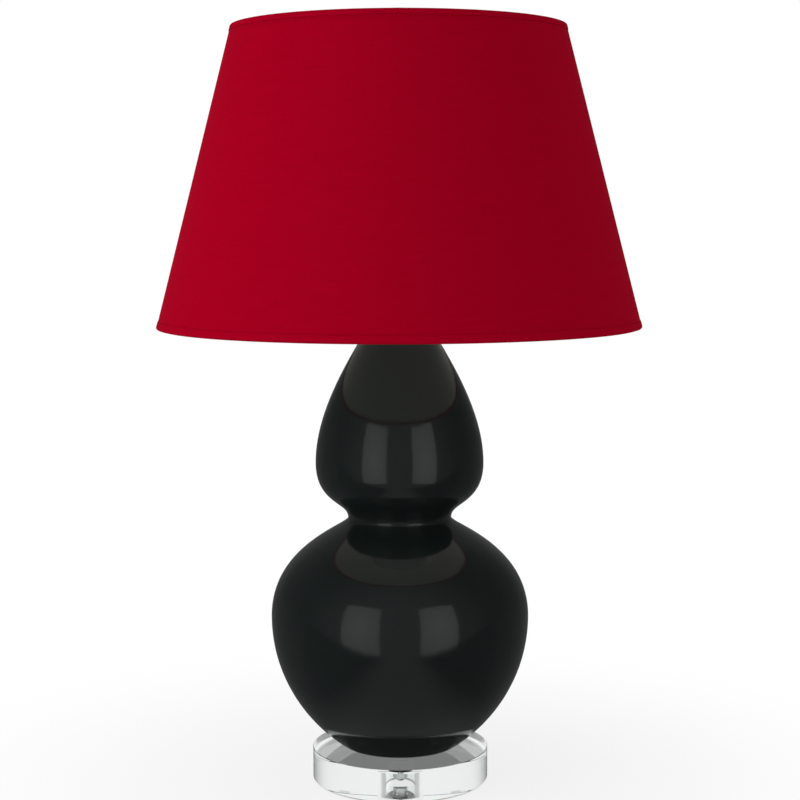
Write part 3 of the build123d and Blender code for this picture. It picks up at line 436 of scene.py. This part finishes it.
# ---------------------------------------------------------------- socket and switch
# A drawn brass socket, lined with fibre card, on a black phenolic block, with a moulded knob.
# Satin nickel plate gives the shell a soft, warm grey sheen.
satin_nickel = metal_finish("satin_nickel_plate", "CDC9C0", roughness=0.27, grain=0.8, spread=0.07)
dress(satin_nickel, "socket_cap", "socket_shell")
dress(zinc_steel, "cap_set_screw")
dress(brass, "terminal_screws", "screw_shell", "centre_contact", "switch_bushing", "switch_stem")


def mottled_finish(name, light, dark, grain, roughness, depth):
    """A dull or glossy solid whose colour drifts between two shades, with a fine grain, so
    many millimetres wide and deep."""
    made, tree, shader = new_material(name, {})
    place = add_node(tree, "ShaderNodeTexCoord").outputs["Object"]
    speck = add_node(tree, "ShaderNodeTexNoise", {
        "Vector": place, "Scale": per_metre(grain), "Detail": 4.0})
    tone = add_node(tree, "ShaderNodeMix", data_type="RGBA", inputs={
        0: speck.outputs["Fac"], 6: srgb(dark), 7: srgb(light)})
    gloss = add_node(tree, "ShaderNodeMapRange", {
        "Value": speck.outputs["Fac"], "To Min": roughness * 0.85, "To Max": roughness * 1.15})
    bump = add_node(tree, "ShaderNodeBump", {
        "Height": speck.outputs["Fac"], "Strength": 0.3, "Distance": depth * MM})
    tree.links.new(tone.outputs[2], shader.inputs["Base Color"])
    tree.links.new(gloss.outputs[0], shader.inputs["Roughness"])
    tree.links.new(bump.outputs[0], shader.inputs["Normal"])
    return made


# Dull brown card with a speckle, a near-black block with a faint one, and a glossy knob
card = mottled_finish(
    "vulcanised_fibre_card", "8B7B63", "6F604B", grain=1.2, roughness=0.8, depth=0.1)
phenolic = mottled_finish(
    "pressed_black_phenolic", "241F1C", "151210", grain=1.0, roughness=0.45, depth=0.05)
plastic = mottled_finish(
    "moulded_black_plastic", "131313", "0E0E0E", grain=3.0, roughness=0.15, depth=0.02)
dress(card, "socket_insulator")
dress(phenolic, "socket_interior")
dress(plastic, "switch_knob")

# ---------------------------------------------------------------- bulb
# Blown glass, coated white inside so that it looks like smooth milk, cemented in a cap of
# aluminium with a rolled thread and a pale, soft shine.
CAP_THREAD = dict(radius=12.9, pitch=3.6, bottom=541.5, height=18.0, ridge=0.9)
glass = mottled_finish(
    "soft_white_coated_glass", "F4F3EE", "EFEEE8", grain=20, roughness=0.2, depth=0.01)
dress(glass, "bulb_glass")
aluminium = metal_finish("rolled_aluminium", "D5D5D2", roughness=0.3, grain=1.5, spread=0.06)
dress(aluminium, "bulb_cap")
dress(brass, "bulb_contact")
screw_thread("bulb_thread", aluminium, "bulb", "plated_cap", **CAP_THREAD)

# ---------------------------------------------------------------- harp
# Spring wire bent to a loop and plated in satin nickel, held on the saddle's posts by two
# sliding sleeves. A turned brass swivel on top ends in the thread that the finial goes on.
SWIVEL_THREAD = dict(radius=3.08, pitch=0.94, bottom=744.6, height=10.34, ridge=0.2)
dress(satin_nickel, "harp_saddle", "harp_bow", "harp_sleeve_left", "harp_sleeve_right")
dress(brass, "harp_swivel")
screw_thread("swivel_thread", brass, "swivel", "brass", **SWIVEL_THREAD)

# ---------------------------------------------------------------- shade
# Cloth laminated on white styrene and rolled into a cone, with its edges bound over two
# wire rings. The binding is a strip of the same cloth, glued down by hand.
BOTTOM_RADIUS = 241.3
TOP_RADIUS = 165.1
SLANT = 304.8
LEAN = math.asin((BOTTOM_RADIUS - TOP_RADIUS) / SLANT)
SHADE_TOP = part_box("shade_top_hem")[1].z / MM
SHADE_BOTTOM = SHADE_TOP - SLANT * math.cos(LEAN)
CLOTH_OUT, CLOTH_IN = 0.56, 1.16  # in from the outer face of the binding
LAP_WIDTH, LAP_LIFT = 11, 0.35  # of the cloth's join at the back
LAP_EDGE = 0.004  # radians past the back, where the cloth's outer end stands
EDGE_STEP, FAR_STEP = 0.0005, 0.012  # radians that it rises in there, and sinks in at the far side
CLOTH_ROWS = 24
ROUND_STEPS = 288

# Red woven cloth: deep and dull, with almost no shine but a thin bloom at its edges. Slubs
# run round the shade. They and the warp are drawn coarser than the real threads, so as to show.
SLUB_LENGTH, SLUB_HEIGHT = 30, 1.0
WARP_LENGTH, WARP_WIDTH = 25, 0.9
WARP_SHARE = 0.3  # of the weave, beside the slubs
red_cloth, tree, shader = new_material("red_slub_weave_cloth", {
    "Roughness": 0.95, "Specular IOR Level": 0.01, "Sheen Weight": 0.015, "Sheen Roughness": 0.4,
    "Sheen Tint": srgb("FF5060")})
place = add_node(tree, "ShaderNodeTexCoord").outputs["Object"]
weft_run = add_node(tree, "ShaderNodeMapping", {
    "Vector": place,
    "Scale": (per_metre(SLUB_LENGTH), per_metre(SLUB_LENGTH), per_metre(SLUB_HEIGHT))})
weft = add_node(tree, "ShaderNodeTexNoise", {
    "Vector": weft_run.outputs[0], "Scale": 1.0, "Detail": 4.0, "Roughness": 0.65})
warp_run = add_node(tree, "ShaderNodeMapping", {
    "Vector": place,
    "Scale": (per_metre(WARP_WIDTH), per_metre(WARP_WIDTH), per_metre(WARP_LENGTH))})
warp = add_node(tree, "ShaderNodeTexNoise", {
    "Vector": warp_run.outputs[0], "Scale": 1.0, "Detail": 2.0})
weave = add_node(tree, "ShaderNodeMix", data_type="FLOAT", inputs={
    0: WARP_SHARE, 2: weft.outputs["Fac"], 3: warp.outputs["Fac"]})
weave_range = add_node(tree, "ShaderNodeMapRange", {
    "Value": weave.outputs[0], "From Min": 0.3, "From Max": 0.7})
cloth_tone = add_node(tree, "ShaderNodeMix", data_type="RGBA", inputs={
    0: weave_range.outputs[0], 6: srgb("9E001B"), 7: srgb("AA0022")})
weave_bump = add_node(tree, "ShaderNodeBump", {
    "Height": weave.outputs[0], "Strength": 0.5, "Distance": 0.15 * MM})
tree.links.new(cloth_tone.outputs[2], shader.inputs["Base Color"])
tree.links.new(weave_bump.outputs[0], shader.inputs["Normal"])


def flank(inset, up):
    """Radius and height of a point so far in from the shade's flank and so far up it."""
    radius = BOTTOM_RADIUS - inset * math.cos(LEAN) - up * math.sin(LEAN)
    return radius, SHADE_BOTTOM - inset * math.sin(LEAN) + up * math.cos(LEAN)


def turned_shell(name, angles, outline_at):
    """A closed ring of cloth: outline_at(angle) gives its cross-section at each angle."""
    shape = bmesh.new()
    rings = []
    for angle in angles:
        points = [Vector((radius * math.sin(angle), radius * math.cos(angle), height)) * MM
                  for radius, height in outline_at(angle)]
        rings.append([shape.verts.new(point) for point in points])
    for one, next_one in zip(rings, rings[1:] + rings[:1]):
        for at in range(len(one)):
            after = (at + 1) % len(one)
            shape.faces.new((one[at], one[after], next_one[after], next_one[at]))
    bmesh.ops.recalc_face_normals(shape, faces=shape.faces)
    for face in shape.faces:
        face.smooth = True
    mesh = bpy.data.meshes.new(name)
    shape.to_mesh(mesh)
    shape.free()
    mesh.materials.append(red_cloth)
    made = bpy.data.objects.new(name, mesh)
    bpy.context.scene.collection.objects.link(made)
    return made


def round_angles(extra=()):
    """Even steps round the shade, from the back, with a few more where an edge is sharp."""
    return sorted([2 * math.pi * step / ROUND_STEPS for step in range(ROUND_STEPS)] + list(extra))


lap_end = LAP_WIDTH / BOTTOM_RADIUS


def cloth_outline(angle):
    """The cloth's section, lifted where its end laps over its start."""
    lift = LAP_LIFT if LAP_EDGE < angle < lap_end + FAR_STEP else 0
    bottom, high = CLOTH_OUT, SLANT - 2 * CLOTH_OUT
    climb = [bottom + high * row / CLOTH_ROWS for row in range(CLOTH_ROWS + 1)]
    outer = [flank(CLOTH_OUT - lift, up) for up in climb]
    inner = [flank(CLOTH_IN, up) for up in reversed(climb)]
    return outer + inner


lap_angles = [LAP_EDGE, LAP_EDGE + EDGE_STEP, lap_end, lap_end + FAR_STEP]
shade_cloth = turned_shell("shade_cloth", round_angles(lap_angles), cloth_outline)

# The bindings: a strip folded over each wire, so that its edge is round, and tucked inside.
# Each point has its inset from the flank and its share of the strip's width.
FOLD_OUTLINE = (
    (0.5, 1.0), (0.38, 1.0), (0.1, 0.88), (0.0, 0.7), (0.0, 0.22), (0.35, 0.08), (1.3, 0.0), (4.4, 0.0),
    (5.3, 0.08), (5.6, 0.22), (5.6, 0.63), (5.35, 0.67), (5.1, 0.63), (5.1, 0.25), (4.6, 0.1),
    (1.5, 0.07), (0.75, 0.12), (0.5, 0.25),
)
FREE_SHARE = 0.5  # past this share of its width the strip's edge wanders
WANDER = ((0.22, 3, 1), (0.16, 11, 0), (0.1, 29, 2))  # size, waves round the shade, start
BOTTOM_BINDING, TOP_BINDING = 7.5, 6.0


def binding(name, edge, inward, width):
    """A binding whose width and tuck wander a little, as a hand-glued strip does."""
    def outline(angle):
        wander = sum(size * math.sin(waves * angle + start) for size, waves, start in WANDER)
        return [flank(inset, edge + inward * share * (width + (wander if share > FREE_SHARE else 0)))
                for inset, share in FOLD_OUTLINE]
    return turned_shell(name, round_angles(), outline)


bottom_binding = binding("shade_bottom_binding", 0, 1, BOTTOM_BINDING)
top_binding = binding("shade_top_binding", SLANT, -1, TOP_BINDING)
for piece, node in ((shade_cloth, "shade_fabric"), (bottom_binding, "shade_bottom_hem"),
                    (top_binding, "shade_top_hem")):
    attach(piece, "shade")
    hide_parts(node)

# ---------------------------------------------------------------- liner, rings and fitter
# The shade's inside is white styrene sheet, smooth with a low sheen. Its rings are wire with
# glossy white enamel, and three nickel-plated arms hang it from a hub on the harp.
styrene = mottled_finish(
    "white_styrene_sheet", "F1EFE9", "E9E7E0", grain=12, roughness=0.5, depth=0.03)
dress(styrene, "shade_liner")
enamel = mottled_finish(
    "white_enamelled_wire", "ECEBE6", "E2E0DA", grain=4, roughness=0.3, depth=0.03)
dress(enamel, "shade_top_ring", "shade_bottom_ring")
dress(satin_nickel, "spider_hub", "spider_arms")

# ---------------------------------------------------------------- finial
# Turned brass, nickel plated and buffed to a mirror, with a threaded brass insert.
dress(polished_nickel, "finial_knob")
dress(brass, "finial_insert")
